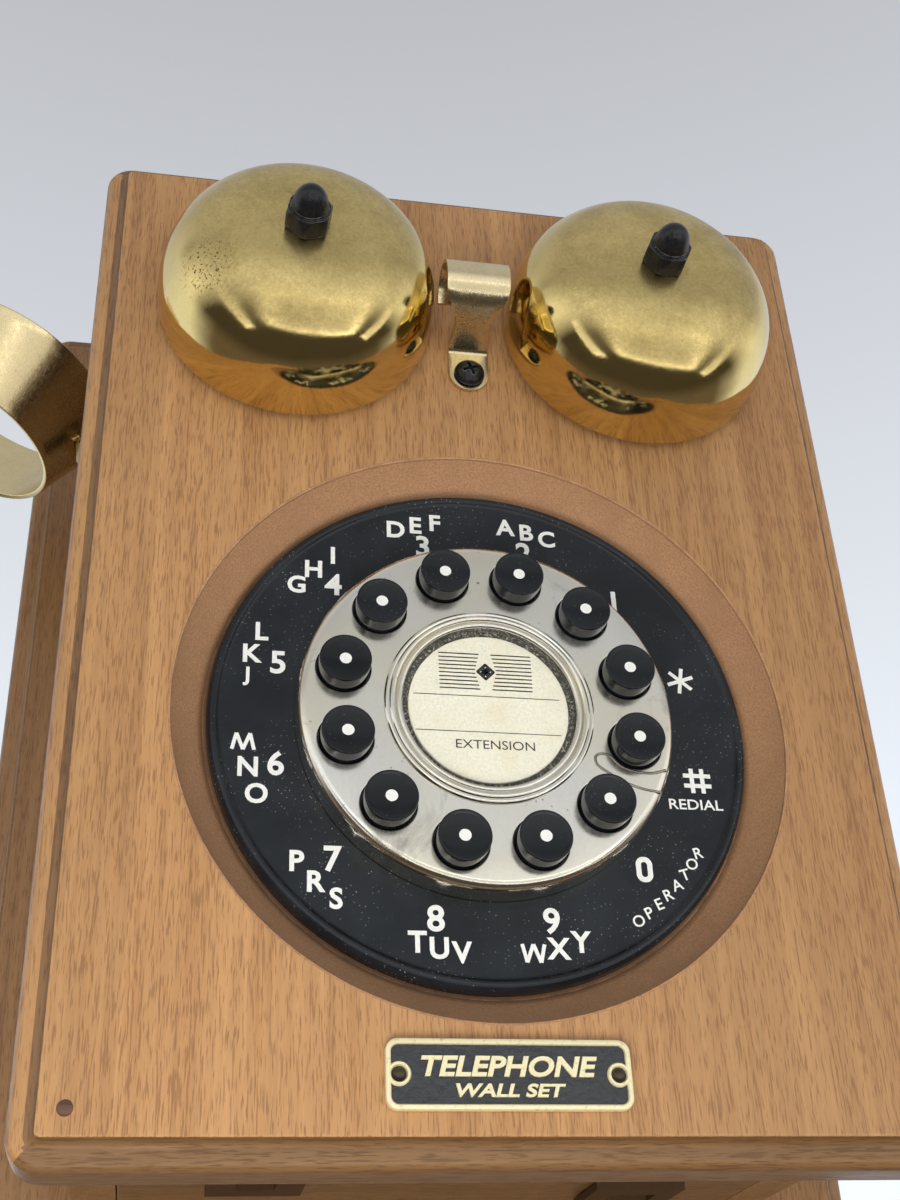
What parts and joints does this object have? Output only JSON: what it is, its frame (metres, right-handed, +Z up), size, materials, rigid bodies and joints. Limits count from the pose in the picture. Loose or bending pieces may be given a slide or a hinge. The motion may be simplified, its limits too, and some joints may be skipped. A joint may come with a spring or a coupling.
{
  "type": "wall crank telephone",
  "caption": "Oak wall telephone with a round push-key dial, two brass bells, a sprung open-ring handset hook and a side crank.",
  "frame": {"origin": "middle of the backboard's back face, on the wall", "axes": "+Z up, +X to the viewer's right, +Y into the wall, so the dial and bells face -Y"},
  "size_m": [0.2474, 0.1498, 0.284],
  "materials": {
    "oak": "satin varnish",
    "brass": "aged, polished",
    "nickel": "aged satin nickel",
    "gloss_black": "gloss",
    "matte_black": "matte",
    "black_steel": "blackened",
    "steel": "zinc plated",
    "paper": "printed card",
    "clear_plastic": "clear plastic",
    "rubber": "moulded",
    "circuit_board": "laminate",
    "dark_wood": "dark stain",
    "cable": "flat cable"
  },
  "bodies": {
    "telephone": {"backboard": "oak", "case_left_side": "oak", "case_right_side": "oak", "case_top": "oak", "case_bottom": "oak", "front_panel": "oak", "bell_left": "brass", "bell_right": "brass", "scroll_clip": "brass", "nameplate_pin_left": "brass", "nameplate_pin_right": "brass", "crank_bushing": "brass", "dial_plate": "nickel", "card_bezel": "nickel", "number_ring": "gloss_black", "line_switch": "matte_black", "handset_jack": "matte_black", "line_jack": "matte_black", "ringer_sounder": "matte_black", "bell_nut_left": "black_steel", "bell_nut_right": "black_steel", "clip_screw": "black_steel", "nameplate": "black_steel", "bell_post_left": "steel", "bell_post_right": "steel", "hook_bracket": "steel", "hook_pivot_pin": "steel", "hook_spring": "steel", "hanging_plate": "steel", "hanger_screw_left": "steel", "hanger_screw_right": "steel", "name_card": "paper", "card_lens": "clear_plastic", "keypad_mat": "rubber", "keypad_board": "circuit_board", "line_board": "circuit_board", "panel_plug_left": "dark_wood", "panel_plug_right": "dark_wood", "keypad_cable": "cable"},
    "hook": {"receiver_hook": "brass"},
    "plunger": {"switch_plunger": "matte_black"},
    "crank": {"crank_shaft": "steel", "crank_collar": "steel", "crank_arm": "brass", "crank_nut": "black_steel", "crank_knob_pin": "brass"},
    "knob": {"crank_knob": "dark_wood"},
    "push_key_1": {"key_1": "gloss_black"},
    "push_key_2": {"key_2": "gloss_black"},
    "push_key_3": {"key_3": "gloss_black"},
    "push_key_4": {"key_4": "gloss_black"},
    "push_key_5": {"key_5": "gloss_black"},
    "push_key_6": {"key_6": "gloss_black"},
    "push_key_7": {"key_7": "gloss_black"},
    "push_key_8": {"key_8": "gloss_black"},
    "push_key_9": {"key_9": "gloss_black"},
    "push_key_0": {"key_0": "gloss_black"},
    "push_key_star": {"key_star": "gloss_black"},
    "push_key_hash": {"key_hash": "gloss_black"}
  },
  "joints": [
    {"name": "key_1_press", "type": "slide", "parent": "telephone", "child": "push_key_1", "axis": [0, 1, 0], "range_m": [0, 0.0016], "stiffness_N_per_m": 250, "springref_m": -0.0008},
    {"name": "key_2_press", "type": "slide", "parent": "telephone", "child": "push_key_2", "axis": [0, 1, 0], "range_m": [0, 0.0016], "stiffness_N_per_m": 250, "springref_m": -0.0008},
    {"name": "key_3_press", "type": "slide", "parent": "telephone", "child": "push_key_3", "axis": [0, 1, 0], "range_m": [0, 0.0016], "stiffness_N_per_m": 250, "springref_m": -0.0008},
    {"name": "key_4_press", "type": "slide", "parent": "telephone", "child": "push_key_4", "axis": [0, 1, 0], "range_m": [0, 0.0016], "stiffness_N_per_m": 250, "springref_m": -0.0008},
    {"name": "key_5_press", "type": "slide", "parent": "telephone", "child": "push_key_5", "axis": [0, 1, 0], "range_m": [0, 0.0016], "stiffness_N_per_m": 250, "springref_m": -0.0008},
    {"name": "key_6_press", "type": "slide", "parent": "telephone", "child": "push_key_6", "axis": [0, 1, 0], "range_m": [0, 0.0016], "stiffness_N_per_m": 250, "springref_m": -0.0008},
    {"name": "key_7_press", "type": "slide", "parent": "telephone", "child": "push_key_7", "axis": [0, 1, 0], "range_m": [0, 0.0016], "stiffness_N_per_m": 250, "springref_m": -0.0008},
    {"name": "key_8_press", "type": "slide", "parent": "telephone", "child": "push_key_8", "axis": [0, 1, 0], "range_m": [0, 0.0016], "stiffness_N_per_m": 250, "springref_m": -0.0008},
    {"name": "key_9_press", "type": "slide", "parent": "telephone", "child": "push_key_9", "axis": [0, 1, 0], "range_m": [0, 0.0016], "stiffness_N_per_m": 250, "springref_m": -0.0008},
    {"name": "key_0_press", "type": "slide", "parent": "telephone", "child": "push_key_0", "axis": [0, 1, 0], "range_m": [0, 0.0016], "stiffness_N_per_m": 250, "springref_m": -0.0008},
    {"name": "key_star_press", "type": "slide", "parent": "telephone", "child": "push_key_star", "axis": [0, 1, 0], "range_m": [0, 0.0016], "stiffness_N_per_m": 250, "springref_m": -0.0008},
    {"name": "key_hash_press", "type": "slide", "parent": "telephone", "child": "push_key_hash", "axis": [0, 1, 0], "range_m": [0, 0.0016], "stiffness_N_per_m": 250, "springref_m": -0.0008},
    {"name": "hook_swing", "type": "hinge", "parent": "telephone", "child": "hook", "pos_m": [-0.06, -0.061, 0.051], "axis": [0, -1, 0], "range_deg": [0, 12], "stiffness_Nm_per_rad": 0.12, "springref_deg": -20.05},
    {"name": "plunger_slide", "type": "slide", "parent": "telephone", "child": "plunger", "axis": [0, 0, 1], "range_m": [0, 0.003]},
    {"name": "crank_turn", "type": "hinge", "parent": "telephone", "child": "crank", "pos_m": [0.076, -0.0595, -0.064], "axis": [1, 0, 0], "continuous": true},
    {"name": "knob_spin", "type": "hinge", "parent": "crank", "child": "knob", "pos_m": [0.1, -0.0595, -0.095], "axis": [1, 0, 0], "continuous": true}
  ],
  "couplings": [
    {"joint": "plunger_slide", "follows": "hook_swing", "m_per_rad": 0.0128}
  ]
}
